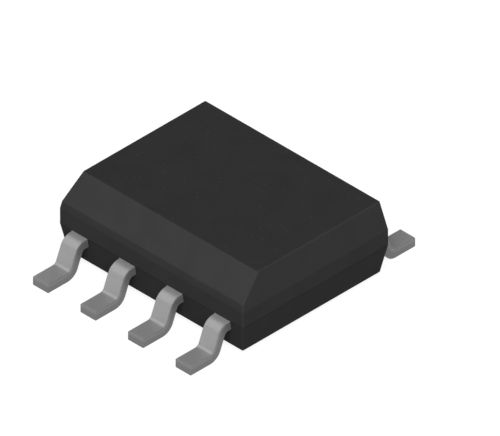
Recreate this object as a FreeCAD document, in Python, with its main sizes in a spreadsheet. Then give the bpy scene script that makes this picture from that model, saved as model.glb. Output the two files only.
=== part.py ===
import FreeCAD, Part
import math
import os

import Sketcher

# Eight-lead small-outline chip package, in millimetres.
# X runs along the body past the leads, Y runs across the two lead rows and Z is up.
# The origin is the centre of the plane that the eight lead feet stand on.
# Lead 1 is the first lead on the -Y side; the numbers run along +X there and come back on the +Y side.

SIZES = {
    # moulding
    "body_end_margin": 0.545,
    "body_width": 3.90,
    "standoff": 0.10,
    "lower_height": 0.635,
    "band_height": 0.35,
    "upper_height": 0.655,
    "draft_angle": 10.0,
    "bevel_top_width": 0.41,
    "bevel_angle": 45.0,
    "edge_radius": 0.03,
    "ejector_diameter": 0.80,
    "ejector_depth": 0.03,
    "ejector_spacing": 2.60,
    # outer leads
    "lead_pitch": 1.27,
    "lead_width": 0.41,
    "lead_thickness": 0.20,
    "shoulder_flat": 0.044,
    "shoulder_bend_radius": 0.10,
    "leg_angle": 68.0,
    "foot_bend_radius": 0.10,
    "foot_flat": 0.52,
    # lead fingers inside the moulding, measured inwards from its side
    "root_depth": 0.06,
    "lock_notch_start": 0.12,
    "lock_notch_length": 0.12,
    "lock_notch_cut": 0.07,
    "finger_knee": 0.42,
    "middle_finger_reach": 0.68,
    "corner_finger_reach": 1.15,
    "finger_tip_width": 0.38,
    # die paddle and its tie bars
    "paddle_side_clearance": 0.22,
    "paddle_end_gap": 1.15,
    "paddle_downset": 0.20,
    "tie_width": 0.30,
    "tie_flat": 0.12,
    "tie_bend_radius": 0.08,
    "tie_slope": 30.0,
    "tie_cover": 0.12,
    # die and its adhesive
    "die_length": 1.60,
    "die_width": 1.25,
    "die_thickness": 0.28,
    "attach_thickness": 0.025,
    "attach_margin": 0.04,
    # bond wires
    "pad_end_inset": 0.20,
    "pad_side_inset": 0.12,
    "wire_diameter": 0.03,
    "ball_diameter": 0.08,
    "ball_height": 0.02,
    "wire_rise": 0.12,
    "wire_crest": 0.19,
    "wire_shoulder": 0.10,
    "stitch_setback": 0.12,
    "stitch_length": 0.10,
    "stitch_width": 0.07,
    "stitch_height": 0.02,
}

LEADS_PER_ROW = 4
ROWS = 2
CUT_MARGIN = 0.20
EDGE_TOLERANCE = 1e-6

# A sketch's own origin as (element, point), its two axes, and an edge's start, end and centre.
ORIGIN = (-1, 1)
LEVEL_AXIS, UPRIGHT_AXIS = -1, -2
START, END, CENTRE = 1, 2, 3

# Heights above the seating plane, from the bottom up.
PARTING = "(Sizes.standoff + Sizes.lower_height)"
BAND_TOP = f"({PARTING} + Sizes.band_height)"
BODY_TOP = f"({BAND_TOP} + Sizes.upper_height)"
SHEET_BOTTOM = f"({PARTING} - Sizes.lead_thickness)"
ISLAND_BOTTOM = f"({SHEET_BOTTOM} - Sizes.paddle_downset)"
ISLAND_TOP = f"({PARTING} - Sizes.paddle_downset)"
ATTACH_TOP = f"({ISLAND_TOP} + Sizes.attach_thickness)"
DIE_TOP = f"({ATTACH_TOP} + Sizes.die_thickness)"

# Half sizes in plan. The outer leads set the moulding's length, and the fingers set the room for the paddle.
HALF_LENGTH = f"({(LEADS_PER_ROW - 1) / 2} * Sizes.lead_pitch + Sizes.body_end_margin)"
HALF_WIDTH = "(Sizes.body_width / 2)"
PADDLE_HALF_LENGTH = f"({HALF_LENGTH} - Sizes.paddle_end_gap)"
PADDLE_HALF_WIDTH = f"({HALF_WIDTH} - Sizes.middle_finger_reach - Sizes.paddle_side_clearance)"
CORNER_TIP_PLACE = f"({PADDLE_HALF_LENGTH} + Sizes.paddle_side_clearance + Sizes.finger_tip_width / 2)"

doc = FreeCAD.newDocument("small_outline_chip")


def make_size_sheet():
    """Put every driving dimension in its own named cell."""
    sheet = doc.addObject("Spreadsheet::Sheet", "Sizes")
    for row, (name, number) in enumerate(SIZES.items(), start=1):
        cell = f"B{row}"
        sheet.set(f"A{row}", name)
        sheet.set(cell, str(number))
        sheet.setAlias(cell, name)
    doc.recompute()
    return sheet


sizes = make_size_sheet()


def value(formula):
    """Number that a formula on the named sizes gives now."""
    return float(sizes.evalExpression(str(formula)))


def point(across, up):
    """Point in a sketch's own plane."""
    return FreeCAD.Vector(across, up, 0)


def new_body(name):
    """Empty solid with a name of its own."""
    body = doc.addObject("PartDesign::Body", name)
    body.Label = name
    return body


def origin_plane(body, role):
    """One of the body's own three origin planes."""
    return [feature for feature in body.Origin.OriginFeatures if feature.Role == role][0]


def new_sketch(body, name, role, offset="0"):
    """Sketch on one of the body's own origin planes, raised from it by an offset."""
    sketch = body.newObject("Sketcher::SketchObject", name)
    sketch.AttachmentSupport = [(origin_plane(body, role), "")]
    sketch.MapMode = "FlatFace"
    sketch.setExpression("AttachmentOffset.Base.z", offset)
    return sketch


def dimension(sketch, name, formula, kind, *where):
    """Add one named dimension and tie it to a formula."""
    number = value(formula)
    if kind == "Angle":
        number = math.radians(number)
    index = sketch.addConstraint(Sketcher.Constraint(kind, *where, number))
    sketch.renameConstraint(index, name)
    sketch.setExpression(f"Constraints.{name}", formula)


def outline(sketch, corners):
    """Closed outline of straight edges; each corner is an (across, up) pair of formulas."""
    places = [point(value(across), value(up)) for across, up in corners]
    count = len(corners)
    for index in range(count):
        sketch.addGeometry(Part.LineSegment(places[index], places[(index + 1) % count]), False)
    join(sketch, [(index, END, (index + 1) % count, START) for index in range(count)])
    for index, (across, up) in enumerate(corners):
        dimension(sketch, f"across_{index}", across, "DistanceX", *ORIGIN, index, START)
        dimension(sketch, f"up_{index}", up, "DistanceY", *ORIGIN, index, START)


def rectangle(sketch, half_length, half_width, middle="0"):
    """Rectangle round a place on the sketch's level axis."""
    left = f"{middle} - {half_length}"
    right = f"{middle} + {half_length}"
    outline(sketch, [
        (left, f"-{half_width}"),
        (right, f"-{half_width}"),
        (right, half_width),
        (left, half_width),
    ])


def circle(sketch, name, radius, across=None):
    """Circle centred on the sketch's level axis, at its origin unless a place across is given."""
    centre = point(value(across or "0"), 0)
    axis = FreeCAD.Vector(0, 0, 1)
    index = sketch.addGeometry(Part.Circle(centre, axis, value(radius)), False)
    dimension(sketch, f"{name}_radius", radius, "Radius", index)
    sketch.addConstraint(Sketcher.Constraint("PointOnObject", index, CENTRE, LEVEL_AXIS))
    if across:
        dimension(sketch, f"{name}_across", across, "DistanceX", *ORIGIN, index, CENTRE)
    else:
        sketch.addConstraint(Sketcher.Constraint("PointOnObject", index, CENTRE, UPRIGHT_AXIS))


def pad(body, name, sketch, length, symmetric=False, downwards=False, taper=None):
    """Solid of a sketch's outline carried along its normal; with a taper angle it narrows on the way."""
    feature = body.newObject("PartDesign::Pad", name)
    feature.Profile = sketch
    feature.Type = "Length"
    feature.setExpression("Length", length)
    feature.SideType = "Symmetric" if symmetric else "One side"
    feature.Reversed = downwards
    if taper:
        feature.setExpression("TaperAngle", f"-{taper}")
    body.Tip = feature
    return feature


def pocket(body, name, sketch, depth, upwards=False):
    """Cut of a sketch's outline to a depth below it, or above it."""
    feature = body.newObject("PartDesign::Pocket", name)
    feature.Profile = sketch
    feature.Type = "Length"
    feature.setExpression("Length", depth)
    feature.Reversed = upwards
    body.Tip = feature
    return feature


def pocket_through(body, name, sketch):
    """Cut of a sketch's outline right through the body, both ways."""
    feature = body.newObject("PartDesign::Pocket", name)
    feature.Profile = sketch
    feature.Type = "ThroughAll"
    feature.SideType = "Symmetric"
    body.Tip = feature
    return feature


def arc(centre, radius, start, end):
    """Arc from one angle to another, in radians, turning left."""
    axis = FreeCAD.Vector(0, 0, 1)
    return Part.ArcOfCircle(Part.Circle(centre, axis, radius), start, end)


def join_smoothly(sketch, joints):
    """Let each pair of edge ends meet and run on in one direction."""
    for joint in joints:
        sketch.addConstraint(Sketcher.Constraint("Tangent", *joint))


def join(sketch, joints):
    """Let each pair of points meet."""
    for joint in joints:
        sketch.addConstraint(Sketcher.Constraint("Coincident", *joint))


def bent_strip(sketch, strip):
    """Edge-on section of a sheet strip that runs flat, bends up a sloping leg and bends over flat again.

    strip gives the formulas: where the low flat starts (low_start) or where the high flat starts
    (high_start), the low flat's length (flat), the high flat's far end (end), the undersides of the two
    flats (low and high), slope, thickness, and the inner radii low_bend and high_bend.
    """
    number = {name: value(formula) for name, formula in strip.items()}
    thickness = number["thickness"]
    slope = math.radians(number["slope"])
    low_inner = number["low_bend"]
    low_outer = low_inner + thickness
    high_inner = number["high_bend"]
    high_outer = high_inner + thickness
    sine = math.sin(slope)
    cosine = math.cos(slope)
    quarter = math.pi / 2

    low_centre_up = number["low"] + low_outer
    high_centre_up = number["high"] - high_inner
    leg_rise = high_centre_up + high_outer * cosine - (low_centre_up - low_inner * cosine)
    run = (low_inner + high_outer) * sine + leg_rise / math.tan(slope)
    if "low_start" in strip:
        low_centre_across = number["low_start"] + number["flat"]
    else:
        low_centre_across = number["high_start"] - run
    start = low_centre_across - number["flat"]
    low_centre = point(low_centre_across, low_centre_up)
    high_centre = point(low_centre_across + run, high_centre_up)

    def on_low(radius):
        return low_centre + point(radius * sine, -radius * cosine)

    def on_high(radius):
        return high_centre + point(-radius * sine, radius * cosine)

    low_top = number["low"] + thickness
    high_top = number["high"] + thickness
    edges = [
        Part.LineSegment(point(start, low_top), point(low_centre.x, low_top)),
        arc(low_centre, low_inner, -quarter, slope - quarter),
        Part.LineSegment(on_low(low_inner), on_high(high_outer)),
        arc(high_centre, high_outer, quarter, quarter + slope),
        Part.LineSegment(point(high_centre.x, high_top), point(number["end"], high_top)),
        Part.LineSegment(point(number["end"], high_top), point(number["end"], number["high"])),
        Part.LineSegment(point(number["end"], number["high"]), point(high_centre.x, number["high"])),
        arc(high_centre, high_inner, quarter, quarter + slope),
        Part.LineSegment(on_high(high_inner), on_low(low_outer)),
        arc(low_centre, low_outer, -quarter, slope - quarter),
        Part.LineSegment(point(low_centre.x, number["low"]), point(start, number["low"])),
        Part.LineSegment(point(start, number["low"]), point(start, low_top)),
    ]
    sketch.addGeometry(edges, False)
    (
        low_flat, low_bend, leg, high_bend, high_flat, end_edge,
        high_under, high_bend_under, leg_under, low_bend_under, low_under, start_edge,
    ) = range(len(edges))

    join_smoothly(sketch, [
        (low_flat, END, low_bend, START),
        (low_bend, END, leg, START),
        (leg, END, high_bend, END),
        (high_bend, START, high_flat, START),
        (high_under, END, high_bend_under, START),
        (high_bend_under, END, leg_under, START),
        (leg_under, END, low_bend_under, END),
        (low_bend_under, START, low_under, START),
    ])
    join(sketch, [
        (high_flat, END, end_edge, START),
        (end_edge, END, high_under, START),
        (low_under, END, start_edge, START),
        (start_edge, END, low_flat, START),
        (low_bend, CENTRE, low_bend_under, CENTRE),
        (high_bend, CENTRE, high_bend_under, CENTRE),
    ])
    for level in (low_flat, high_flat, high_under, low_under):
        sketch.addConstraint(Sketcher.Constraint("Horizontal", level))
    for upright in (end_edge, start_edge):
        sketch.addConstraint(Sketcher.Constraint("Vertical", upright))
    sheet = strip["thickness"]
    dimension(sketch, "low_bend_inner", strip["low_bend"], "Radius", low_bend)
    dimension(sketch, "low_bend_outer", f"{strip['low_bend']} + {sheet}", "Radius", low_bend_under)
    dimension(sketch, "high_bend_inner", strip["high_bend"], "Radius", high_bend_under)
    dimension(sketch, "high_bend_outer", f"{strip['high_bend']} + {sheet}", "Radius", high_bend)
    dimension(sketch, "slope", strip["slope"], "Angle", leg)
    if "low_start" in strip:
        dimension(sketch, "low_start", strip["low_start"], "DistanceX", *ORIGIN, low_flat, START)
    else:
        dimension(sketch, "high_start", strip["high_start"], "DistanceX", *ORIGIN, high_flat, START)
    dimension(sketch, "flat", strip["flat"], "DistanceX", low_flat, START, low_flat, END)
    dimension(sketch, "low_top", f"{strip['low']} + {sheet}", "DistanceY", *ORIGIN, low_flat, START)
    dimension(sketch, "high_top", f"{strip['high']} + {sheet}", "DistanceY", *ORIGIN, high_flat, START)
    dimension(sketch, "end", strip["end"], "DistanceX", *ORIGIN, end_edge, START)


def row_and_position(number):
    """Row (0 for -Y, 1 for +Y) and position in it (0 to 3) of lead 1 to 8."""
    return divmod(number - 1, LEADS_PER_ROW)


def row_sign(row):
    """The +Y row is the -Y row turned half round, so its plan places have the other sign."""
    return 1 if row == 0 else -1


def row_place(position):
    """How far a lead of the -Y row stands from the row's middle, along X."""
    return f"({position - (LEADS_PER_ROW - 1) / 2} * Sizes.lead_pitch)"


def is_corner(position):
    """True for the leads at the two ends of a row."""
    return position in (0, LEADS_PER_ROW - 1)


def finger_tip_place(position):
    """How far a finger's tip stands from the row's middle: corner fingers lean in beside the paddle."""
    if not is_corner(position):
        return row_place(position)
    if position == 0:
        return f"(-{CORNER_TIP_PLACE})"
    return CORNER_TIP_PLACE


def finger_tip_across(position):
    """Where a finger of the -Y row ends, along Y."""
    reach = "Sizes.corner_finger_reach" if is_corner(position) else "Sizes.middle_finger_reach"
    return f"(-{HALF_WIDTH} + {reach})"


def make_lead(number):
    """One lead: gull-wing strip outside and, inside, a flat finger with two lock notches in the wall."""
    row, position = row_and_position(number)
    body = new_body(f"lead_{number}")

    wing = new_sketch(body, f"lead_{number}_wing", "YZ_Plane")
    root = f"(-{HALF_WIDTH} + Sizes.root_depth)"
    bent_strip(wing, {
        "flat": "Sizes.foot_flat",
        "high_start": f"(-{HALF_WIDTH} - Sizes.shoulder_flat)",
        "end": root,
        "low": "0",
        "high": SHEET_BOTTOM,
        "slope": "Sizes.leg_angle",
        "thickness": "Sizes.lead_thickness",
        "low_bend": "Sizes.foot_bend_radius",
        "high_bend": "Sizes.shoulder_bend_radius",
    })
    pad(body, f"lead_{number}_strip", wing, "Sizes.lead_width", symmetric=True)

    plan = new_sketch(body, f"lead_{number}_plan", "XY_Plane", SHEET_BOTTOM)
    notch_start = f"(-{HALF_WIDTH} + Sizes.lock_notch_start)"
    notch_end = f"({notch_start} + Sizes.lock_notch_length)"
    knee = f"(-{HALF_WIDTH} + Sizes.finger_knee)"
    edge = "(Sizes.lead_width / 2)"
    notched_edge = "(Sizes.lead_width / 2 - Sizes.lock_notch_cut)"
    right_side = [
        (edge, root),
        (edge, notch_start),
        (notched_edge, notch_start),
        (notched_edge, notch_end),
        (edge, notch_end),
        (edge, knee),
    ]
    left_side = [(f"-{across}", up) for across, up in reversed(right_side)]
    lean = f"({finger_tip_place(position)} - {row_place(position)})"
    tip = finger_tip_across(position)
    tip_edge = [
        (f"{lean} + Sizes.finger_tip_width / 2", tip),
        (f"{lean} - Sizes.finger_tip_width / 2", tip),
    ]
    outline(plan, right_side + tip_edge + left_side)
    pad(body, f"lead_{number}_finger", plan, "Sizes.lead_thickness")

    sign = row_sign(row)
    body.setExpression("Placement.Base.x", f"{sign} * {row_place(position)}")
    body.setExpression("Placement.Rotation.Angle", "0" if sign > 0 else "180")
    return body


def make_paddle():
    """Downset island that carries the die, with a tie bar bent up to the frame's level at each end."""
    body = new_body("die_paddle")
    plan = new_sketch(body, "island_plan", "XY_Plane", ISLAND_BOTTOM)
    rectangle(plan, PADDLE_HALF_LENGTH, PADDLE_HALF_WIDTH)
    pad(body, "island", plan, "Sizes.lead_thickness")

    section = new_sketch(body, "tie_section", "XZ_Plane")
    bent_strip(section, {
        "low_start": f"({PADDLE_HALF_LENGTH} - Sizes.lead_thickness)",
        "flat": "(Sizes.lead_thickness + Sizes.tie_flat)",
        "end": HALF_LENGTH,
        "low": ISLAND_BOTTOM,
        "high": SHEET_BOTTOM,
        "slope": "Sizes.tie_slope",
        "thickness": "Sizes.lead_thickness",
        "low_bend": "Sizes.tie_bend_radius",
        "high_bend": "Sizes.tie_bend_radius",
    })
    tie = pad(body, "tie_bar", section, "Sizes.tie_width", symmetric=True)

    mirror = body.newObject("PartDesign::Mirrored", "opposite_tie_bar")
    mirror.Originals = [tie]
    mirror.MirrorPlane = (origin_plane(body, "YZ_Plane"), [""])
    body.Tip = mirror

    # The tie bar at the +X end stays behind the wall; the one at the -X end is sheared off at the end face.
    trim = new_sketch(body, "tie_trim", "XZ_Plane")
    trim_start = f"({HALF_LENGTH} - Sizes.tie_cover)"
    trim_end = f"({HALF_LENGTH} + {CUT_MARGIN})"
    outline(trim, [
        (trim_start, f"{SHEET_BOTTOM} - {CUT_MARGIN}"),
        (trim_end, f"{SHEET_BOTTOM} - {CUT_MARGIN}"),
        (trim_end, f"{PARTING} + {CUT_MARGIN}"),
        (trim_start, f"{PARTING} + {CUT_MARGIN}"),
    ])
    pocket_through(body, "covered_end", trim)
    return body


def make_die_attach():
    """Thin pad of adhesive, squeezed out a little past the die, with sloping edges."""
    body = new_body("die_attach")
    plan = new_sketch(body, "attach_plan", "XY_Plane", ISLAND_TOP)
    rectangle(
        plan,
        "(Sizes.die_length / 2 + Sizes.attach_margin)",
        "(Sizes.die_width / 2 + Sizes.attach_margin)",
    )
    edge_slope = "atan(Sizes.attach_margin / 2 / Sizes.attach_thickness)"
    pad(body, "attach_pad", plan, "Sizes.attach_thickness", taper=edge_slope)
    return body


def make_die():
    """Sawn slice of silicon."""
    die = doc.addObject("Part::Box", "die")
    die.Label = "die"
    die.setExpression("Length", "Sizes.die_length")
    die.setExpression("Width", "Sizes.die_width")
    die.setExpression("Height", "Sizes.die_thickness")
    die.setExpression("Placement.Base.x", "-Sizes.die_length / 2")
    die.setExpression("Placement.Base.y", "-Sizes.die_width / 2")
    die.setExpression("Placement.Base.z", ATTACH_TOP)
    return die


def wire_path(sketch, reach, drop):
    """Centre line of a bond wire: up from the ball, over a short shoulder and straight down to the stitch."""
    corners = [
        ("0", "Sizes.ball_height / 2"),
        ("0", "Sizes.wire_rise"),
        ("Sizes.wire_shoulder", "Sizes.wire_crest"),
        (reach, drop),
    ]
    places = [point(value(across), value(up)) for across, up in corners]
    rise, shoulder, slope = range(3)
    for edge in (rise, shoulder, slope):
        sketch.addGeometry(Part.LineSegment(places[edge], places[edge + 1]), False)
    join(sketch, [(rise, END, shoulder, START), (shoulder, END, slope, START)])
    for end in (START, END):
        sketch.addConstraint(Sketcher.Constraint("PointOnObject", rise, end, UPRIGHT_AXIS))
    dimension(sketch, "start", "Sizes.ball_height / 2", "DistanceY", *ORIGIN, rise, START)
    dimension(sketch, "rise", "Sizes.wire_rise", "DistanceY", *ORIGIN, rise, END)
    dimension(sketch, "shoulder", "Sizes.wire_shoulder", "DistanceX", *ORIGIN, shoulder, END)
    dimension(sketch, "crest", "Sizes.wire_crest", "DistanceY", *ORIGIN, shoulder, END)
    dimension(sketch, "reach", reach, "DistanceX", *ORIGIN, slope, END)
    dimension(sketch, "drop", drop, "DistanceY", *ORIGIN, slope, END)


def make_bond_wire(number):
    """One bond wire: a squashed ball on the die, a low loop and a flat stitch on the lead's finger.

    It is drawn in its own upright plane, with the ball at the origin, and turned towards its finger.
    """
    row, position = row_and_position(number)
    pad_share = 2 * position / (LEADS_PER_ROW - 1) - 1
    pad_along = f"({pad_share} * (Sizes.die_length / 2 - Sizes.pad_end_inset))"
    pad_across = "(-Sizes.die_width / 2 + Sizes.pad_side_inset)"
    run_along = f"({finger_tip_place(position)} - {pad_along})"
    run_across = f"({finger_tip_across(position)} - Sizes.stitch_setback - {pad_across})"
    reach = f"hypot({run_along}; {run_across})"
    drop = f"({PARTING} - {DIE_TOP})"

    body = new_body(f"bond_wire_{number}")
    ball_plan = new_sketch(body, f"wire_{number}_ball_plan", "XY_Plane")
    circle(ball_plan, "ball", "Sizes.ball_diameter / 2")
    pad(body, f"wire_{number}_ball", ball_plan, "Sizes.ball_height")

    path = new_sketch(body, f"wire_{number}_path", "XZ_Plane")
    wire_path(path, reach, drop)
    section = new_sketch(body, f"wire_{number}_section", "XY_Plane", "Sizes.ball_height / 2")
    circle(section, "wire", "Sizes.wire_diameter / 2")
    loop = body.newObject("PartDesign::AdditivePipe", f"wire_{number}_loop")
    loop.Profile = section
    loop.Spine = path
    loop.Transition = "Right corner"
    body.Tip = loop

    # The wire's end is pressed flat on the finger: nothing of it is left below the finger's face.
    press_plan = new_sketch(body, f"wire_{number}_press_plan", "XY_Plane", drop)
    rectangle(press_plan, "Sizes.stitch_length", "Sizes.stitch_width", reach)
    pocket(body, f"wire_{number}_press", press_plan, "Sizes.wire_diameter")
    stitch_plan = new_sketch(body, f"wire_{number}_stitch_plan", "XY_Plane", drop)
    rectangle(stitch_plan, "(Sizes.stitch_length / 2)", "(Sizes.stitch_width / 2)", reach)
    pad(body, f"wire_{number}_stitch", stitch_plan, "Sizes.stitch_height")

    sign = row_sign(row)
    body.setExpression("Placement.Base.x", f"{sign} * {pad_along}")
    body.setExpression("Placement.Base.y", f"{sign} * {pad_across}")
    body.setExpression("Placement.Base.z", DIE_TOP)
    body.setExpression("Placement.Rotation.Angle", f"atan2({sign} * {run_across}; {sign} * {run_along})")
    return body


def is_soft_edge(edge):
    """True for the moulding's corners, top, bevel and bottom edges, not for those along the band."""
    heights = [vertex.Z for vertex in edge.Vertexes]
    level = max(heights) - min(heights) < EDGE_TOLERANCE
    band_levels = (value(PARTING), value(BAND_TOP))
    on_band = any(abs(heights[0] - band_level) < EDGE_TOLERANCE for band_level in band_levels)
    return not (level and on_band)


def make_moulding_form():
    """Outer form of the moulding: drafted halves below and above an upright band, and the bevel."""
    body = new_body("moulding_form")
    for name, offset, height, downwards, taper in (
        ("band", PARTING, "Sizes.band_height", False, None),
        ("lower_half", PARTING, "Sizes.lower_height", True, "Sizes.draft_angle"),
        ("upper_half", BAND_TOP, "Sizes.upper_height", False, "Sizes.draft_angle"),
    ):
        plan = new_sketch(body, f"{name}_plan", "XY_Plane", offset)
        rectangle(plan, HALF_LENGTH, HALF_WIDTH)
        pad(body, name, plan, height, downwards=downwards, taper=taper)

    # The bevel slopes down and outwards from a line on the top face, along the side of leads 1 to 4.
    section = new_sketch(body, "bevel_section", "YZ_Plane")
    top_line = f"(-{HALF_WIDTH} + Sizes.upper_height * tan(Sizes.draft_angle) + Sizes.bevel_top_width)"
    inner = f"({top_line} + {CUT_MARGIN})"
    outer = f"(-{HALF_WIDTH} - {CUT_MARGIN})"
    above = f"({BODY_TOP} + {CUT_MARGIN} * tan(Sizes.bevel_angle))"
    below = f"({above} - ({inner} - {outer}) * tan(Sizes.bevel_angle))"
    outline(section, [(inner, above), (outer, above), (outer, below)])
    bevel = pocket_through(body, "lead_1_bevel", section)
    doc.recompute()

    soft = body.newObject("PartDesign::Fillet", "soft_edges")
    edges = bevel.Shape.Edges
    names = [f"Edge{index + 1}" for index, edge in enumerate(edges) if is_soft_edge(edge)]
    soft.Base = (bevel, names)
    soft.setExpression("Radius", "Sizes.edge_radius")
    body.Tip = soft

    marks = new_sketch(body, "ejector_mark_plan", "XY_Plane", "Sizes.standoff")
    for name, along in (("near", "-Sizes.ejector_spacing / 2"), ("far", "Sizes.ejector_spacing / 2")):
        circle(marks, name, "Sizes.ejector_diameter / 2", along)
    pocket(body, "ejector_marks", marks, "Sizes.ejector_depth", upwards=True)
    return body


def make_moulding(form, embedded):
    """Moulding with the exact shape of everything it was moulded round left open in it."""
    core = doc.addObject("Part::MultiFuse", "embedded_pieces")
    core.Shapes = embedded
    moulding = doc.addObject("Part::Cut", "mould_body")
    moulding.Label = "mould_body"
    moulding.Base = form
    moulding.Tool = core
    return moulding


def check_document(pieces):
    """Stop if any feature failed or any piece isn't one sound solid."""
    for thing in doc.Objects:
        if "Invalid" in thing.State or "Error" in thing.State:
            raise RuntimeError(f"{thing.Name} failed: {thing.State}")
    for piece in pieces:
        shape = piece.Shape
        if shape.isNull() or not shape.isValid() or len(shape.Solids) != 1:
            raise RuntimeError(f"{piece.Label} isn't one sound solid")


def write_pieces(pieces):
    """Write each piece in its own file."""
    os.makedirs("parts", exist_ok=True)
    for piece in pieces:
        piece.Shape.exportStep(os.path.join("parts", f"{piece.Label}.step"))
        print(f"{piece.Label}: {piece.Shape.Volume:.5f} mm3, {len(piece.Shape.Faces)} faces")


def main():
    numbers = range(1, LEADS_PER_ROW * ROWS + 1)
    leads = [make_lead(number) for number in numbers]
    paddle = make_paddle()
    attach = make_die_attach()
    die = make_die()
    wires = [make_bond_wire(number) for number in numbers]
    form = make_moulding_form()
    embedded = leads + [paddle, attach, die] + wires
    moulding = make_moulding(form, embedded)
    doc.recompute()
    pieces = [moulding] + embedded
    check_document(pieces)
    write_pieces(pieces)


main()
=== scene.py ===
import math

import bpy
import numpy as np
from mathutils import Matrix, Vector


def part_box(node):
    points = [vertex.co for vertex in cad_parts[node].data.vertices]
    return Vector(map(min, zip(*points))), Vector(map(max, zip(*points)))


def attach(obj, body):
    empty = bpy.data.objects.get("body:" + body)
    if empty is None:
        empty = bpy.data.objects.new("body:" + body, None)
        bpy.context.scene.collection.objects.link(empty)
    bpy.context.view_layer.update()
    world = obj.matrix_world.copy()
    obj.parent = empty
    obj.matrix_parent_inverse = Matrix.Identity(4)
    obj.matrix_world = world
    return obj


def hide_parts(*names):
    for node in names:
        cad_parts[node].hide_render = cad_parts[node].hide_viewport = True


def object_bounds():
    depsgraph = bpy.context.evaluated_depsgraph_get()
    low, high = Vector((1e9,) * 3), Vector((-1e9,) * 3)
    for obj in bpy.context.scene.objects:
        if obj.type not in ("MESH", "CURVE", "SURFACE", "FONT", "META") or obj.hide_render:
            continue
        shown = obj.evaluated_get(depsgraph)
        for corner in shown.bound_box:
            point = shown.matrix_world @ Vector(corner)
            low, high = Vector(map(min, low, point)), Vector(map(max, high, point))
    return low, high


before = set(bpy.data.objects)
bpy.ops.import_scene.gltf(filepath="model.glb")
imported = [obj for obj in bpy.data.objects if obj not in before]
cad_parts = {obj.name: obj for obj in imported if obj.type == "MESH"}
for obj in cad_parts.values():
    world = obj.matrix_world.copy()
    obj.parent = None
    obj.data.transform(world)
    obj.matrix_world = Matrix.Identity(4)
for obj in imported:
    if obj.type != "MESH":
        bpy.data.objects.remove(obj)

bl_info = {
    "name": "Small-outline chip finish",
    "version": (1, 0, 0),
    "blender": (4, 5, 0),
    "location": "3D View > Sidebar > Chip",
    "description": "Dresses the packed model of an eight-lead small-outline chip",
    "category": "Object",
}

# X runs along the body, Y across the two lead rows and Z up from the plane that the lead feet stand on.
MM = 0.001
BODY = "root"
CAD_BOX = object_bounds()

LEADS_PER_ROW = 4
LEAD_NUMBERS = range(1, 2 * LEADS_PER_ROW + 1)
MOULDING = "mould_body"
PADDLE = "die_paddle"
ADHESIVE = "die_attach"
DIE = "die"
WIRES = [f"bond_wire_{number}" for number in LEAD_NUMBERS]

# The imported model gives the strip's width and pitch, the moulding's side wall and top, and the parting
# plane, which lies level with the leads' upper face.
LEAD_LOW, LEAD_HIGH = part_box("lead_2")
LEAD_WIDTH = LEAD_HIGH.x - LEAD_LOW.x
LEAD_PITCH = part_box("lead_3")[0].x - LEAD_LOW.x
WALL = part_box(MOULDING)[0].y
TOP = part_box(MOULDING)[1].z
PARTING = LEAD_HIGH.z

# How finely the formed leads are divided.
FLAT_STEPS = 6
BEND_STEPS = 24
CORNER_POINTS = 6
CAP_RINGS = 5
CORNERS = 4

# Share of a corner's radius that goes away inside the moulding, so that the compound fits round the strip.
SHARPENED = 0.9

# The floor lies this far below the feet, so that no faces coincide.
FLOOR_GAP = 0.002 * MM

# How far each material's colour wanders to both sides, as a share of it.
COMPOUND_MOTTLE = 0.05
TIN_MOTTLE = 0.04
RUBBED_MOTTLE = 0.03
TORN_MOTTLE = 0.05
GRAINED_MOTTLE = 0.08

# The stretch of a noise pattern, from 0 to 1, over which a mottled colour changes.
MOTTLE_SPAN = (0.3, 0.7)

# How far a pattern moves a roughness to both sides, and how softly a sheared side's smooth band ends.
ROUGHNESS_SWING = 0.05
BORDER_FADE = 0.05

WHITE = (1, 1, 1)
BLACK = (0, 0, 0)


def linear(hex_colour):
    """Linear colour of an sRGB hex value: ((c + 0.055) / 1.055) to the power 2.4, or c / 12.92 if dark."""
    coded = np.array([int(hex_colour[place:place + 2], 16) for place in (1, 3, 5)]) / 255
    return tuple(np.where(coded > 0.04045, ((coded + 0.055) / 1.055) ** 2.4, coded / 12.92))


def length(name, description, metres):
    """Length property."""
    return bpy.props.FloatProperty(
        name=name, description=description, default=metres, min=0.0, precision=6, unit="LENGTH",
    )


def angle(name, description, degrees):
    """Angle property, given in degrees."""
    return bpy.props.FloatProperty(
        name=name, description=description, default=math.radians(degrees), unit="ROTATION",
    )


def colour(name, description, hex_colour):
    """Colour property, given as an sRGB hex colour."""
    return bpy.props.FloatVectorProperty(
        name=name, description=description, default=linear(hex_colour),
        min=0.0, max=1.0, size=3, subtype="COLOR",
    )


def share(name, description, number):
    """Share property, from 0 to 1."""
    return bpy.props.FloatProperty(
        name=name, description=description, default=number, min=0.0, max=1.0, subtype="FACTOR",
    )


def strength(name, description, number):
    """Strength of a light, as a plain number."""
    return bpy.props.FloatProperty(name=name, description=description, default=number, min=0.0)


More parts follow.
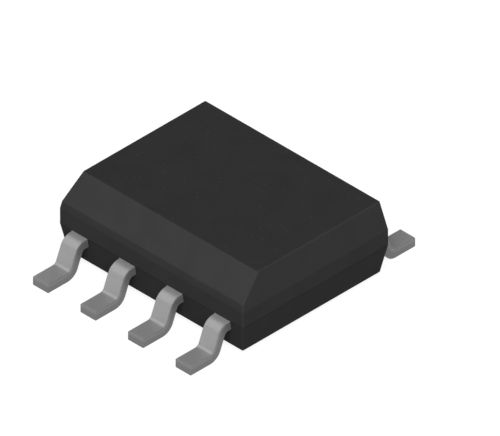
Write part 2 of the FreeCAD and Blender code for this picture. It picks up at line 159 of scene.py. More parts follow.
class LeadSettings(bpy.types.PropertyGroup):
    """Sizes and finish of the formed leads."""

    pitch: length("Pitch", "Distance between neighbouring leads", LEAD_PITCH)
    width: length("Width", "Width of the stamped strip", LEAD_WIDTH)
    thickness: length("Thickness", "Thickness of the sheet", 0.20 * MM)
    foot: length("Foot", "Flat length of the foot's sole", 0.52 * MM)
    foot_bend: length("Foot bend", "Inner radius of the bend above the foot", 0.10 * MM)
    shoulder_bend: length("Shoulder bend", "Inner radius of the bend at the shoulder", 0.10 * MM)
    leg_angle: angle("Leg angle", "Slope of the leg from the board", 68.0)
    rolled_edge: length("Rolled edge", "Radius that the punch leaves on the upper edges", 0.022 * MM)
    sheared_edge: length("Sheared edge", "Radius left on the lower edges", 0.008 * MM)
    toe_edge: length("Toe edge", "Radius left on the edges of the cut-off toe", 0.008 * MM)
    notch_start: length("Notch start", "From the moulding's side in to the lock notches", 0.12 * MM)
    notch_length: length("Notch length", "Length of a lock notch", 0.12 * MM)
    notch_cut: length("Notch cut", "Depth of a lock notch into the strip", 0.07 * MM)
    notch_end: length("Notch end", "Length over which each end of a lock notch steps in", 0.004 * MM)
    knee: length("Knee", "From the moulding's side in to where the finger leans", 0.42 * MM)
    tip_width: length("Tip width", "Width of the finger's tip", 0.38 * MM)
    tin: colour("Tin", "Matte tin plate on the sheet's two faces", "#8f8f8f")
    # The sheared tin is darker partly as a duller cut surface and partly as painted shade on the sides and
    # toe, which mirror the white floor.
    sheared_tin_and_shade: colour("Sheared tin", "Matte tin plate on the sheared sides and the toe", "#717171")
    metallic: share("Metallic", "How much of the plate mirrors; its crystals scatter the rest", 0.60)
    roughness: share("Roughness", "Roughness of the plate", 0.42)
    crystal: length("Crystal", "Width of the plate's crystals as drawn", 0.03 * MM)
    rolling_line: length("Rolling line", "Width of the sheet's rolling lines as drawn", 0.02 * MM)
    burnish: share("Burnish", "Share of a sheared side that the punch rubbed smooth", 0.33)
    wander: share("Wander", "How far the smooth band's border wanders, as a share of the side", 0.30)
    torn_shade: share("Torn shade", "How much the torn part darkens and the smooth band pales", 0.06)
    torn_dullness: share("Torn dullness", "Roughness that the torn part adds", 0.10)
    rub_polish: share("Rub polish", "Roughness that the forming tool takes off a bend", 0.12)


class MouldingSettings(bpy.types.PropertyGroup):
    """Finish of the moulded body."""

    compound: colour("Compound", "Black moulding compound on the sides, bevel and underside", "#2a2a2a")
    # The top's colour is painted shade: it is darker than the sides' compound so that the top, which the main
    # lamp lights most, comes out in the sides' tone. The rim below is the height over which this painted
    # shade fades in.
    top: colour("Top", "The same compound on the top, which a finer insert leaves darker", "#222222")
    painted_top_shade_rim: length("Top rim", "Height over which the top's finish gives way to the sides'", 0.01 * MM)
    filler: colour("Filler", "Silica grains at the skin", "#2e2e2e")
    roughness: share("Roughness", "Roughness of the spark-eroded face", 0.40)
    gloss: share("Gloss", "Strength of the surface reflection", 0.003)
    crater: length("Crater", "Width of the mould's spark craters as drawn", 0.05 * MM)
    crater_depth: length("Crater depth", "Height of the craters' cast on the face", 0.0018 * MM)
    filler_spacing: length("Filler spacing", "Distance between filler grains at the skin", 0.16 * MM)
    filler_grain: length("Filler grain", "Radius of a filler grain as drawn", 0.021 * MM)
    filler_show: share("Filler show", "How far a grain shows through the resin's skin", 0.60)
    # The parting line is painted shade of a seam groove that the mesh does not have.
    painted_seam_shade_width: length("Parting line", "Width of the line where the mould's halves met", 0.018 * MM)
    painted_seam_shade: share("Parting shade", "How dark that line is", 0.50)


class InnerSettings(bpy.types.PropertyGroup):
    """Finish of the pieces sealed in the moulding."""

    copper: colour("Copper", "Bare copper alloy", "#a8755c")
    silicon: colour("Silicon", "Polished silicon", "#5a5e6b")
    adhesive: colour("Adhesive", "Silver-filled adhesive", "#b9b9b4")
    gold: colour("Gold", "Drawn gold wire", "#f2c04e")


class StageSettings(bpy.types.PropertyGroup):
    """Floor, lights and camera."""

    floor: colour("Floor", "Pale paper", "#f0f0f0")
    floor_reach: length("Floor reach", "Distance from the chip to the floor's edge", 200.0 * MM)
    floor_glow: share("Floor glow", "Share of plain white in what the eye sees of the floor", 0.86)
    sky: strength("Sky", "Strength of the even light from all round", 0.10)
    horizon: share("Horizon", "Brightness of the backdrop at the horizon", 1.0)
    overhead: share("Overhead", "Brightness of the backdrop overhead", 0.05)
    horizon_height: share("Horizon height", "Height over which the backdrop dims, as a sine", 0.35)
    key: strength("Key", "Strength of the main lamp", 6.6)
    key_azimuth: angle("Key azimuth", "Direction of the main lamp, round the chip", 47.4)
    key_elevation: angle("Key elevation", "Height of the main lamp above the horizon", 45.0)
    key_spread: angle("Key spread", "Width of the main lamp as the chip sees it", 50.0)
    side: strength("Side", "Strength of the lamp on the row of leads 1 to 4", 0.80)
    side_azimuth: angle("Side azimuth", "Direction of the side lamp, round the chip", -55.0)
    side_elevation: angle("Side elevation", "Height of the side lamp above the horizon", 42.0)
    side_spread: angle("Side spread", "Width of the side lamp as the chip sees it", 60.0)
    fill: strength("Fill", "Strength of the low lamp behind the chip", 4.6)
    fill_azimuth: angle("Fill azimuth", "Direction of the low lamp, round the chip", 209.0)
    fill_elevation: angle("Fill elevation", "Height of the low lamp above the horizon", 4.0)
    fill_spread: angle("Fill spread", "Width of the low lamp as the chip sees it", 20.0)
    azimuth: angle("Azimuth", "Direction the camera looks from, round the chip", 45.0)
    elevation: angle("Elevation", "Height of the camera above the horizon", 35.264)
    view_width: length("View width", "Width of the picture on the chip", 9.444 * MM)
    aim_right: length("Aim right", "How far the picture's centre lies right of the chip's origin", 0.490 * MM)
    aim_up: length("Aim up", "How far the picture's centre lies above the chip's origin", 0.897 * MM)
    camera_distance: length("Camera distance", "Distance from the camera to its aim", 60.0 * MM)


def add_node(tree, kind, inputs=None, **settings):
    """Add one node: settings are its own properties, and inputs gives sockets a value or a (node, output)."""
    node = tree.nodes.new(kind)
    for name, setting in settings.items():
        setattr(node, name, setting)
    for socket, source in (inputs or {}).items():
        if isinstance(source, tuple) and isinstance(source[0], bpy.types.Node):
            tree.links.new(source[0].outputs[source[1]], node.inputs[socket])
        else:
            node.inputs[socket].default_value = source
    return node


# A colour Mix node's sockets, which share their names with its other kinds.
MIX_FACTOR, MIX_FIRST, MIX_SECOND, MIX_RESULT = 0, 6, 7, 2


def new_material(name):
    """Empty node material."""
    material = bpy.data.materials.new(name)
    material.use_nodes = True
    material.node_tree.nodes.clear()
    return material


def finish_material(material, shader):
    """Show a shader on the material's surface."""
    add_node(material.node_tree, "ShaderNodeOutputMaterial", {"Surface": (shader, 0)})
    return material


def opaque(rgb):
    """Colour with full alpha."""
    return (*rgb, 1.0)


def mottled(tree, rgb, spread, pattern):
    """Colour that wanders a little to both sides of one colour as a noise pattern rises and falls."""
    ramp = add_node(tree, "ShaderNodeValToRGB", {"Fac": (pattern, "Fac")})
    for element, place, change in zip(ramp.color_ramp.elements, MOTTLE_SPAN, (-spread, spread)):
        element.position = place
        element.color = opaque(channel * (1 + change) for channel in rgb)
    return ramp


def moulding_compound(settings):
    """Epoxy moulding compound: silica in black resin, pressed in a spark-eroded mould.

    The eye gets a deep neutral grey with hardly any gloss, a fine even grain cast from the mould and a few
    paler silica grains at the skin. The top is painted a shade darker, as painted shade that brings the top,
    which the main lamp lights most, down to the sides' tone. A thin dark line is painted where the mould's
    halves met, as the painted shade of a seam groove that the mesh does not have.
    """
    material = new_material("moulding_compound_spark_eroded")
    tree = material.node_tree
    place = add_node(tree, "ShaderNodeTexCoord")
    # Real spark craters are about 0.02 mm wide. They are drawn coarser, so that the render shows them.
    craters = add_node(tree, "ShaderNodeTexNoise", {
        "Vector": (place, "Object"), "Scale": 1 / settings.crater, "Detail": 2.0, "Roughness": 0.6,
    })
    # The resin's faint clouds are as wide as a dozen craters.
    cloud = 12 * settings.crater
    clouds = add_node(tree, "ShaderNodeTexNoise", {
        "Vector": (place, "Object"), "Scale": 1 / cloud, "Detail": 2.0,
    })
    cells = add_node(tree, "ShaderNodeTexVoronoi", {
        "Vector": (place, "Object"), "Scale": 1 / settings.filler_spacing,
    })
    # The cells are one unit wide, so a grain's radius is a share of the spacing. Its rim fades over a quarter
    # of that to each side.
    grain_radius = settings.filler_grain / settings.filler_spacing
    fade = grain_radius / 4
    grain_share = add_node(tree, "ShaderNodeMapRange", {
        "Value": (cells, "Distance"), "From Min": grain_radius - fade, "From Max": grain_radius + fade,
        "To Min": settings.filler_show, "To Max": 0.0,
    })
    height = add_node(tree, "ShaderNodeSeparateXYZ", {"Vector": (place, "Object")})
    # Painted shade: over the top rim the colour turns to the darker top colour, which holds the lit top to
    # the sides' tone.
    painted_top_shade_share = add_node(tree, "ShaderNodeMapRange", {
        "Value": (height, "Z"), "From Min": TOP - settings.painted_top_shade_rim, "From Max": TOP,
    })
    resin = add_node(tree, "ShaderNodeMix", {
        MIX_FACTOR: (painted_top_shade_share, "Result"),
        MIX_FIRST: (mottled(tree, settings.compound, COMPOUND_MOTTLE, clouds), "Color"),
        MIX_SECOND: (mottled(tree, settings.top, COMPOUND_MOTTLE, clouds), "Color"),
    }, data_type="RGBA")
    speckled = add_node(tree, "ShaderNodeMix", {
        MIX_FACTOR: (grain_share, "Result"), MIX_FIRST: (resin, MIX_RESULT),
        MIX_SECOND: opaque(settings.filler),
    }, data_type="RGBA")

    # The parting line is painted shade: a seam groove's shade, darkened towards black, though the mesh has no
    # groove. It is full over the middle half of its width and fades out towards its two edges.
    from_line = add_node(tree, "ShaderNodeMath", {0: (height, "Z"), 1: PARTING}, operation="SUBTRACT")
    distance = add_node(tree, "ShaderNodeMath", {0: (from_line, "Value")}, operation="ABSOLUTE")
    painted_seam_shade_share = add_node(tree, "ShaderNodeMapRange", {
        "Value": (distance, "Value"), "To Min": settings.painted_seam_shade, "To Max": 0.0,
        "From Min": settings.painted_seam_shade_width / 4, "From Max": settings.painted_seam_shade_width / 2,
    })
    lined = add_node(tree, "ShaderNodeMix", {
        MIX_FACTOR: (painted_seam_shade_share, "Result"), MIX_FIRST: (speckled, MIX_RESULT), MIX_SECOND: opaque(BLACK),
    }, data_type="RGBA")

    dullness = add_node(tree, "ShaderNodeMapRange", {
        "Value": (craters, "Fac"), "To Min": settings.roughness - ROUGHNESS_SWING,
        "To Max": settings.roughness + ROUGHNESS_SWING,
    })
    relief = add_node(tree, "ShaderNodeBump", {"Height": (craters, "Fac"), "Distance": settings.crater_depth})
    return finish_material(material, add_node(tree, "ShaderNodeBsdfPrincipled", {
        "Base Color": (lined, MIX_RESULT), "Roughness": (dullness, "Result"), "Normal": (relief, "Normal"),
        "Specular IOR Level": settings.gloss, "IOR": 1.55,
    }))


def matte_tin(settings):
    """Matte tin electroplated on copper alloy sheet, which was stamped and then bent.

    The eye gets a pale satin grey: fine crystals, faint rolling lines along the strip, smoother streaks where
    the forming tool rubbed a bend, and sheared sides with a smooth band under the punch. The sheared sides
    and the toe are darker partly as a duller cut surface and partly as painted shade, which keeps these faces
    from coming out as bright as the white floor that they mirror.
    """
    material = new_material("matte_tin_plate")
    tree = material.node_tree
    place = add_node(tree, "ShaderNodeAttribute", attribute_name="strip_place")
    side = add_node(tree, "ShaderNodeAttribute", attribute_name="sheared_side")
    rub = add_node(tree, "ShaderNodeAttribute", attribute_name="tool_rub")
    # Real crystals are about 0.003 mm wide and rolling lines 0.005 mm. Both are drawn coarser, to show.
    crystals = add_node(tree, "ShaderNodeTexNoise", {
        "Vector": (place, "Vector"), "Scale": 1 / settings.crystal, "Detail": 3.0, "Roughness": 0.55,
    })
    # A rolling line runs on for twenty times its width.
    long_line = 20 * settings.rolling_line
    rolled = add_node(tree, "ShaderNodeMapping", {
        "Vector": (place, "Vector"), "Scale": (1 / settings.rolling_line, 1 / long_line, 1 / long_line),
    })
    lines = add_node(tree, "ShaderNodeTexNoise", {"Vector": (rolled, "Vector"), "Scale": 1.0, "Detail": 2.0})

    # The sheared side runs from its lower edge, 0, to the punch's edge, 1. Its smooth band's border wanders.
    depth = add_node(tree, "ShaderNodeSeparateXYZ", {"Vector": (place, "Vector")})
    upwards = add_node(tree, "ShaderNodeMath", {
        0: (depth, "Z"), 1: 1 / settings.thickness, 2: 0.5,
    }, operation="MULTIPLY_ADD")
    wandering = add_node(tree, "ShaderNodeMath", {
        0: (crystals, "Fac"), 1: settings.wander, 2: (upwards, "Value"),
    }, operation="MULTIPLY_ADD")
    # The noise adds half the wander on average, which the border's place allows for.
    border = 1 - settings.burnish + settings.wander / 2
    fracture = add_node(tree, "ShaderNodeMapRange", {
        "Value": (wandering, "Value"), "From Min": border - BORDER_FADE, "From Max": border + BORDER_FADE,
        "To Min": 1.0, "To Max": 0.0,
    })
    # The sheared colour carries painted shade on the sides and toe as well as the cut surface's dullness.
    torn_tin = tuple(channel * (1 - settings.torn_shade) for channel in settings.sheared_tin_and_shade)
    rubbed_tin = tuple(channel * (1 + settings.torn_shade) for channel in settings.sheared_tin_and_shade)
    sheared = add_node(tree, "ShaderNodeMix", {
        MIX_FACTOR: (fracture, "Result"),
        MIX_FIRST: (mottled(tree, rubbed_tin, RUBBED_MOTTLE, crystals), "Color"),
        MIX_SECOND: (mottled(tree, torn_tin, TORN_MOTTLE, crystals), "Color"),
    }, data_type="RGBA")
    tint = add_node(tree, "ShaderNodeMix", {
        MIX_FACTOR: (side, "Fac"), MIX_SECOND: (sheared, MIX_RESULT),
        MIX_FIRST: (mottled(tree, settings.tin, TIN_MOTTLE, crystals), "Color"),
    }, data_type="RGBA")

    lined = add_node(tree, "ShaderNodeMapRange", {
        "Value": (lines, "Fac"), "To Min": settings.roughness - ROUGHNESS_SWING,
        "To Max": settings.roughness + ROUGHNESS_SWING,
    })
    torn = add_node(tree, "ShaderNodeMath", {0: (side, "Fac"), 1: (fracture, "Result")}, operation="MULTIPLY")
    duller = add_node(tree, "ShaderNodeMath", {
        0: (torn, "Value"), 1: settings.torn_dullness, 2: (lined, "Result"),
    }, operation="MULTIPLY_ADD")
    streaks = add_node(tree, "ShaderNodeMath", {0: (rub, "Fac"), 1: (lines, "Fac")}, operation="MULTIPLY")
    dullness = add_node(tree, "ShaderNodeMath", {
        0: (streaks, "Value"), 1: -settings.rub_polish, 2: (duller, "Value"),
    }, operation="MULTIPLY_ADD")
    # The crystals stand up by a twenty-fifth of their width.
    crystal_height = settings.crystal / 25
    relief = add_node(tree, "ShaderNodeBump", {"Height": (crystals, "Fac"), "Distance": crystal_height})
    return finish_material(material, add_node(tree, "ShaderNodeBsdfPrincipled", {
        "Base Color": (tint, MIX_RESULT), "Roughness": (dullness, "Value"), "Normal": (relief, "Normal"),
        "Metallic": settings.metallic,
    }))


def grained(name, rgb, grain, metallic, roughness, ior=1.5, stretch=(1, 1, 1)):
    """Material with a fine grain, which a stretch below 1 draws out along an axis.

    The grain stands up by a fortieth of its width.
    """
    material = new_material(name)
    tree = material.node_tree
    place = add_node(tree, "ShaderNodeTexCoord")
    drawn_out = add_node(tree, "ShaderNodeMapping", {
        "Vector": (place, "Object"), "Scale": tuple(axis / grain for axis in stretch),
    })
    pattern = add_node(tree, "ShaderNodeTexNoise", {
        "Vector": (drawn_out, "Vector"), "Scale": 1.0, "Detail": 3.0,
    })
    grain_height = grain / 40
    relief = add_node(tree, "ShaderNodeBump", {"Height": (pattern, "Fac"), "Distance": grain_height})
    return finish_material(material, add_node(tree, "ShaderNodeBsdfPrincipled", {
        "Base Color": (mottled(tree, rgb, GRAINED_MOTTLE, pattern), "Color"), "Normal": (relief, "Normal"),
        "Metallic": metallic, "Roughness": roughness, "IOR": ior,
    }))


def sheared_copper(settings):
    """Copper alloy sheet, bare where the tie bar was sheared off: warm metal with upright shear marks."""
    return grained(
        "copper_alloy_sheared", settings.copper, grain=0.03 * MM, metallic=1.0, roughness=0.38,
        stretch=(1, 1, 0.1),
    )


def silver_adhesive(settings):
    """Epoxy full of silver flakes, dispensed and baked: a dull pale grey with a fine grain."""
    return grained(
        "silver_filled_epoxy", settings.adhesive, grain=0.02 * MM, metallic=0.4, roughness=0.5,
    )


def silicon(settings):
    """Silicon, sawn from a polished wafer: a smooth blue-grey with a clear gloss."""
    return grained(
        "silicon_polished", settings.silicon, grain=0.10 * MM, metallic=0.0, roughness=0.15, ior=3.4,
    )


def gold_wire(settings):
    """Gold wire, drawn through dies: bright and warm, with a very fine grain."""
    return grained("gold_wire_drawn", settings.gold, grain=0.01 * MM, metallic=1.0, roughness=0.25)


def dress(node, material):
    """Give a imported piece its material."""
    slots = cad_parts[node].data.materials
    slots.clear()
    slots.append(material)


def smooth_step(start, end, values):
    """0 before start, 1 after end and t * t * (3 - 2 * t) between them."""
    t = np.clip((values - start) / (end - start), 0, 1)
    return t * t * (3 - 2 * t)


def running_sum(steps):
    """Sums of the steps so far, from 0 on."""
    return np.concatenate([[0], np.cumsum(steps)])


def lead_stretches(toe, tip, top, settings):
    """Stretches of a lead from toe to tip: length, turn, steps, and half width and lean at the far end.

    The leg is as long as the two bends leave it: the height between the foot and the shoulder, less both
    middle radii times (1 - cos slope), divided by sin slope. A short stretch steps the width at each end of
    the notches.
    """
    slope = settings.leg_angle
    foot_radius = settings.foot_bend + settings.thickness / 2
    shoulder_radius = settings.shoulder_bend + settings.thickness / 2
    radii = foot_radius + shoulder_radius
    leg = (top - settings.thickness - radii * (1 - math.cos(slope))) / math.sin(slope)
    run = radii * math.sin(slope) + leg * math.cos(slope)
    wide = settings.width / 2
    narrow = wide - settings.notch_cut
    shoulder = toe + settings.foot + run
    notch = WALL + settings.notch_start
    past_notch = notch + settings.notch_length
    knee = WALL + settings.knee
    return [
        (settings.foot - settings.toe_edge, 0, FLAT_STEPS, wide, 0),
        (foot_radius * slope, slope, BEND_STEPS, wide, 0),
        (leg, 0, FLAT_STEPS, wide, 0),
        (shoulder_radius * slope, -slope, BEND_STEPS, wide, 0),
        (WALL - shoulder, 0, FLAT_STEPS, wide, 0),
        (notch - WALL, 0, 1, wide, 0),
        (settings.notch_end, 0, 1, narrow, 0),
        (settings.notch_length - 2 * settings.notch_end, 0, 1, narrow, 0),
        (settings.notch_end, 0, 1, wide, 0),
        (knee - past_notch, 0, 1, wide, 0),
        (tip - settings.toe_edge - knee, 0, 1, settings.tip_width / 2, 1),
    ]


def formed_line(stretches):
    """Stations of a strip's centre line: along, across, up, heading, half width and lean.

    Along, heading, half width and lean grow evenly over each stretch. Between two stations the line is an
    arc, whose chord is the step times sin(turn / 2) / (turn / 2) in the mean heading. Across and up are the
    running sums of the chords.
    """
    lengths, turns, steps, half_widths, leans = np.array(stretches).T
    marks = running_sum(steps)
    station = np.arange(marks[-1] + 1)
    along = np.interp(station, marks, running_sum(lengths))
    heading = np.interp(station, marks, running_sum(turns))
    half_width = np.interp(station, marks, [half_widths[0], *half_widths])
    lean = np.interp(station, marks, [0, *leans])
    chord = np.diff(along) * np.sinc(np.diff(heading) / (2 * math.pi))
    mean_heading = (heading[1:] + heading[:-1]) / 2
    across = running_sum(chord * np.cos(mean_heading))
    up = running_sum(chord * np.sin(mean_heading))
    return along, across, up, heading, half_width, lean


def stamped_section():
    """Unit section of the strip, once round against the clock: its corners' signs, arcs and supports.

    A corner's arc is (cos turn, sin turn) over a quarter. Before and after it stands one more point, a little
    way along the straight side, which keeps that side flat in the light. The last two arrays say which way.
    """
    step = np.concatenate([[0], np.linspace(0, 1, CORNER_POINTS), [1]])
    corner = np.repeat(np.arange(CORNERS), len(step))
    turn = (corner + np.tile(step, CORNERS)) * math.pi / 2
    middle = (corner + 0.5) * math.pi / 2
    first = np.tile(np.arange(len(step)) == 0, CORNERS)
    last = np.tile(np.arange(len(step)) == len(step) - 1, CORNERS)
    starts_upright = corner % 2 == 0
    support_up = np.where(starts_upright, first, last)
    support_across = np.where(starts_upright, last, first)
    right = np.sign(np.cos(middle))
    upper = np.sign(np.sin(middle))
    return right, upper, np.cos(turn), np.sin(turn), support_across, support_up


def strip_skin(line, toe, middle, lean_reach, settings):
    """Grid of points over a strip, and for each its place on the flat blank, its shearing and its rubbing.

    With half width w, half thickness h and corner radius r, a section's point is sideways at
    right * (w - r) + r * cos turn, and upper * (h - r) + r * sin turn off the centre line, along its normal.
    """
    along, across, up, heading, half_width, lean = line
    right, upper, cosine, sine, support_across, support_up = stamped_section()
    half = settings.thickness / 2
    edge = settings.toe_edge

    # Each end is closed by rings that round off by the edge's radius, and one more keeps the end face flat.
    turn = np.linspace(0, math.pi / 2, CAP_RINGS + 1)[1:]
    inset = np.append(edge * (1 - np.cos(turn)), 2 * edge)
    ahead = np.append(edge * np.sin(turn), edge)
    stations = np.arange(len(along))
    rings = len(inset)
    order = np.concatenate([np.zeros(rings, int), stations, np.full(rings, stations[-1])])
    inset = np.concatenate([inset[::-1], np.zeros(len(stations)), inset])
    ahead = np.concatenate([-ahead[::-1], np.zeros(len(stations)), ahead])

    # Inside the moulding the corners are nearly sharp.
    place = toe + edge + across[order]
    sharpness = smooth_step(WALL - 2 * settings.rolled_edge, WALL, place)
    soft_radius = np.where(upper > 0, settings.rolled_edge, settings.sheared_edge)
    radius = np.outer(1 - SHARPENED * sharpness, soft_radius)
    support = settings.rolled_edge / 2
    width = (half_width[order] - inset)[:, None]
    depth = (half - inset)[:, None]
    sideways = right * (width - radius - support * support_across) + radius * cosine
    normal = upper * (depth - radius - support * support_up) + radius * sine

    tilt = heading[order][:, None]
    points = np.stack([
        middle + (lean[order] * lean_reach)[:, None] + sideways,
        (place + ahead)[:, None] - normal * np.sin(tilt),
        (half + up[order])[:, None] + normal * np.cos(tilt),
    ], axis=-1)
    blank = np.stack([sideways, (along[order] + ahead)[:, None] + np.zeros(sideways.shape), normal], axis=-1)
    sheared = np.maximum(cosine ** 2, (ahead[:, None] / edge) ** 2)
    # The tool rubs the upper face most halfway round each bend: sin(pi * heading / slope).
    rubbed = np.sin(math.pi * tilt / settings.leg_angle) * np.clip(sine, 0, 1)
    return points, {"strip_place": blank, "sheared_side": sheared[..., None], "tool_rub": rubbed[..., None]}


def skin_piece(name, points, patterns, material):
    """Closed mesh over a grid of rings, with a fan to the middle of each end ring."""
    rings, around = points.shape[:2]
    ring, step = np.meshgrid(np.arange(rings - 1), np.arange(around), indexing="ij")
    here = ring * around + step
    beside = ring * around + (step + 1) % around
    quads = np.stack([here, here + around, beside + around, beside], axis=-1).reshape(-1, 4)
    first = np.arange(around)
    second = (first + 1) % around
    last_ring = (rings - 1) * around
    count = rings * around
    start_fan = np.stack([np.full(around, count), first, second], axis=-1)
    end_fan = np.stack([np.full(around, count + 1), last_ring + second, last_ring + first], axis=-1)

    def with_ends(grid):
        ends = np.stack([grid[0].mean(axis=0), grid[-1].mean(axis=0)])
        return np.vstack([grid.reshape(count, -1), ends])

    mesh = bpy.data.meshes.new(name)
    mesh.from_pydata(with_ends(points).tolist(), [], quads.tolist() + start_fan.tolist() + end_fan.tolist())
    for pattern, grid in patterns.items():
        kind, field = ("FLOAT_VECTOR", "vector") if grid.shape[-1] == 3 else ("FLOAT", "value")
        attribute = mesh.attributes.new(pattern, kind, "POINT")
        attribute.data.foreach_set(field, with_ends(grid).astype(np.float32).ravel())
    mesh.materials.append(material)
    mesh.shade_smooth()
    piece = bpy.data.objects.new(name, mesh)
    bpy.context.scene.collection.objects.link(piece)
    return piece


def build_lead(number, settings, material):
    """One formed lead, worked out as one of leads 1 to 4 and turned half round for leads 5 to 8."""
    row, position = divmod(number - 1, LEADS_PER_ROW)
    turned = 1 if row == 0 else -1
    low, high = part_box(f"lead_{number}")
    (left, toe), (right, tip) = sorted((turned * corner.x, turned * corner.y) for corner in (low, high))
    middle = (position - (LEADS_PER_ROW - 1) / 2) * settings.pitch
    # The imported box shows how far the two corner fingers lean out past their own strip.
    tip_middle = {0: right, LEADS_PER_ROW - 1: left}.get(position, middle)
    if tip_middle != middle:
        tip_middle += math.copysign(settings.tip_width / 2, middle)
    line = formed_line(lead_stretches(toe, tip, high.z, settings))
    points, patterns = strip_skin(line, toe, middle, tip_middle - middle, settings)
    points[..., :2] *= turned
    piece = skin_piece(f"formed_lead_{number}", points, patterns, material)
    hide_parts(f"lead_{number}")
    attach(piece, BODY)


class CHIP_OT_moulding(bpy.types.Operator):
    """Give the moulded body its spark-eroded finish"""

    bl_idname = "chip.moulding"
    bl_label = "Moulding"

    def execute(self, context):
        dress(MOULDING, moulding_compound(context.scene.chip_moulding))
        return {"FINISHED"}


class CHIP_OT_leads(bpy.types.Operator):
    """Build the eight formed leads with their rolled edges and matte tin plate"""

    bl_idname = "chip.leads"
    bl_label = "Leads"

    def execute(self, context):
        settings = context.scene.chip_leads
        tin = matte_tin(settings)
        for number in LEAD_NUMBERS:
            build_lead(number, settings, tin)
        return {"FINISHED"}


class CHIP_OT_paddle(bpy.types.Operator):
    """Give the die paddle and its tie bars their bare copper finish"""

    bl_idname = "chip.paddle"
    bl_label = "Paddle"

    def execute(self, context):
        dress(PADDLE, sheared_copper(context.scene.chip_inner))
        return {"FINISHED"}


class CHIP_OT_die(bpy.types.Operator):
    """Finish the die and the adhesive that holds it"""

    bl_idname = "chip.die"
    bl_label = "Die"

    def execute(self, context):
        settings = context.scene.chip_inner
        dress(ADHESIVE, silver_adhesive(settings))
        dress(DIE, silicon(settings))
        return {"FINISHED"}


class CHIP_OT_wires(bpy.types.Operator):
    """Finish the eight bond wires"""

    bl_idname = "chip.wires"
    bl_label = "Bond wires"

    def execute(self, context):
        gold = gold_wire(context.scene.chip_inner)
        for wire in WIRES:
            dress(wire, gold)
        return {"FINISHED"}


def towards(azimuth, elevation):
    """Direction from the chip: azimuth turns from -Y to +X, and elevation rises from the floor."""
    level = math.cos(elevation)
    return Vector((math.sin(azimuth) * level, -math.cos(azimuth) * level, math.sin(elevation)))


def add_lamp(name, direction, power, spread, glints=True):
    """Soft lamp so far away that its light is even over the whole chip."""
    lamp = bpy.data.lights.new(name, "SUN")
    lamp.energy = power
    lamp.angle = spread
    holder = bpy.data.objects.new(name, lamp)
    holder.rotation_mode = "QUATERNION"
    holder.rotation_quaternion = direction.to_track_quat("Z", "Y")
    holder.visible_glossy = glints
    bpy.context.scene.collection.objects.link(holder)


def add_lamps(settings):
    """Main lamp beside the camera, side lamp on the row of leads 1 to 4, and a low fill for the far sides."""
    key = towards(settings.key_azimuth, settings.key_elevation)
    side = towards(settings.side_azimuth, settings.side_elevation)
    fill = towards(settings.fill_azimuth, settings.fill_elevation)
    # The main lamp's glint would hide a foot's shape in the views from behind.
    add_lamp("key_lamp", key, settings.key, settings.key_spread, glints=False)
    add_lamp("side_lamp", side, settings.side, settings.side_spread)
    add_lamp("fill_lamp", fill, settings.fill, settings.fill_spread, glints=False)


def seen_by_the_eye(tree):
    """1 for what the camera sees, straight or in a mirror or glass, and 0 for light that only scatters."""
    ray = add_node(tree, "ShaderNodeLightPath")
    seen = add_node(tree, "ShaderNodeMath", {
        0: (ray, "Is Camera Ray"), 1: (ray, "Is Glossy Ray"),
    }, operation="ADD")
    return add_node(tree, "ShaderNodeMath", {
        0: (seen, "Value"), 1: (ray, "Is Transmission Ray"),
    }, operation="ADD", use_clamp=True)


def studio_world(settings):
    """Even soft light from all round, and for the eye a backdrop that is pale low down and dims overhead."""
    world = bpy.data.worlds.new("studio")
    world.use_nodes = True
    tree = world.node_tree
    tree.nodes.clear()
    place = add_node(tree, "ShaderNodeTexCoord")
    height = add_node(tree, "ShaderNodeSeparateXYZ", {"Vector": (place, "Generated")})
    backdrop = add_node(tree, "ShaderNodeMapRange", {
        "Value": (height, "Z"), "From Max": settings.horizon_height,
        "To Min": settings.horizon, "To Max": settings.overhead,
    })
    brightness = add_node(tree, "ShaderNodeMapRange", {
        "Value": (seen_by_the_eye(tree), "Value"), "To Min": settings.sky, "To Max": (backdrop, "Result"),
    })
    light = add_node(tree, "ShaderNodeBackground", {
        "Color": opaque(WHITE), "Strength": (brightness, "Result"),
    })
    add_node(tree, "ShaderNodeOutputWorld", {"Surface": (light, "Background")})
    return world


def pale_paper(settings):
    """Smooth white paper: matte and nearly white, and it keeps the shadows that fall on it."""
    material = new_material("pale_paper")
    tree = material.node_tree
    glow_share = add_node(tree, "ShaderNodeMath", {
        0: (seen_by_the_eye(tree), "Value"), 1: settings.floor_glow,
    }, operation="MULTIPLY")
    paper = add_node(tree, "ShaderNodeBsdfDiffuse", {"Color": opaque(settings.floor)})
    glow = add_node(tree, "ShaderNodeEmission", {"Color": opaque(WHITE), "Strength": 1.0})
    return finish_material(material, add_node(tree, "ShaderNodeMixShader", {
        "Fac": (glow_share, "Value"), 1: (paper, "BSDF"), 2: (glow, "Emission"),
    }))


def add_floor(settings):
    """Level square of paper under the feet."""
    side = np.array([-settings.floor_reach, settings.floor_reach])
    x, y = np.meshgrid(side, side)
    corners = np.stack([x.ravel(), y.ravel(), np.full(x.size, CAD_BOX[0].z - FLOOR_GAP)], axis=-1)
    mesh = bpy.data.meshes.new("floor")
    mesh.from_pydata(corners.tolist(), [], [(0, 1, 3, 2)])
    mesh.materials.append(pale_paper(settings))
    floor = bpy.data.objects.new("floor", mesh)
    # The paper throws no light back at the chip, so the moulding's lower faces stay darker than its band.
    floor.visible_diffuse = False
    bpy.context.scene.collection.objects.link(floor)


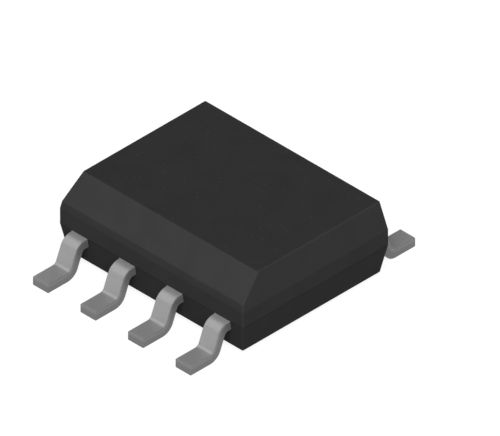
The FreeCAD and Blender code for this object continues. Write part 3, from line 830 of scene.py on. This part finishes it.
def add_camera(settings):
    """Level-sided view without perspective, square on to the chosen direction."""
    back = towards(settings.azimuth, settings.elevation)
    right = Vector((math.cos(settings.azimuth), math.sin(settings.azimuth), 0))
    up = back.cross(right)
    camera = bpy.data.cameras.new("camera")
    camera.type = "ORTHO"
    camera.ortho_scale = settings.view_width
    camera.clip_start = 0.1 * MM
    camera.clip_end = 10 * settings.camera_distance
    holder = bpy.data.objects.new("camera", camera)
    holder.location = right * settings.aim_right + up * settings.aim_up + back * settings.camera_distance
    holder.rotation_mode = "QUATERNION"
    holder.rotation_quaternion = (-back).to_track_quat("-Z", "Y")
    bpy.context.scene.collection.objects.link(holder)
    bpy.context.scene.camera = holder


class CHIP_OT_stage(bpy.types.Operator):
    """Set up the pale floor, the soft lights and the camera"""

    bl_idname = "chip.stage"
    bl_label = "Stage"

    def execute(self, context):
        settings = context.scene.chip_stage
        add_floor(settings)
        context.scene.world = studio_world(settings)
        add_lamps(settings)
        add_camera(settings)
        context.scene.view_settings.view_transform = "Standard"
        return {"FINISHED"}


class VIEW3D_PT_chip(bpy.types.Panel):
    """Lists the chip's operators in the sidebar"""

    bl_label = "Small-outline chip"
    bl_space_type = "VIEW_3D"
    bl_region_type = "UI"
    bl_category = "Chip"

    def draw(self, context):
        for operator in OPERATORS:
            self.layout.operator(operator.bl_idname)


OPERATORS = (
    CHIP_OT_moulding, CHIP_OT_leads, CHIP_OT_paddle, CHIP_OT_die, CHIP_OT_wires, CHIP_OT_stage,
)
GROUPS = {
    "chip_leads": LeadSettings,
    "chip_moulding": MouldingSettings,
    "chip_inner": InnerSettings,
    "chip_stage": StageSettings,
}


def register():
    """Make the classes known to Blender and hang each settings group on the scene."""
    for kind in (*GROUPS.values(), *OPERATORS, VIEW3D_PT_chip):
        bpy.utils.register_class(kind)
    for name, group in GROUPS.items():
        setattr(bpy.types.Scene, name, bpy.props.PointerProperty(type=group))


def unregister():
    """Take the settings groups and the classes away again, last one first."""
    for name in GROUPS:
        delattr(bpy.types.Scene, name)
    for kind in (VIEW3D_PT_chip, *reversed(OPERATORS), *reversed(GROUPS.values())):
        bpy.utils.unregister_class(kind)


def main():
    """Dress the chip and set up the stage."""
    register()
    bpy.ops.chip.moulding()
    bpy.ops.chip.leads()
    bpy.ops.chip.paddle()
    bpy.ops.chip.die()
    bpy.ops.chip.wires()
    bpy.ops.chip.stage()
    bpy.context.view_layer.update()


if __name__ == "__main__":
    main()
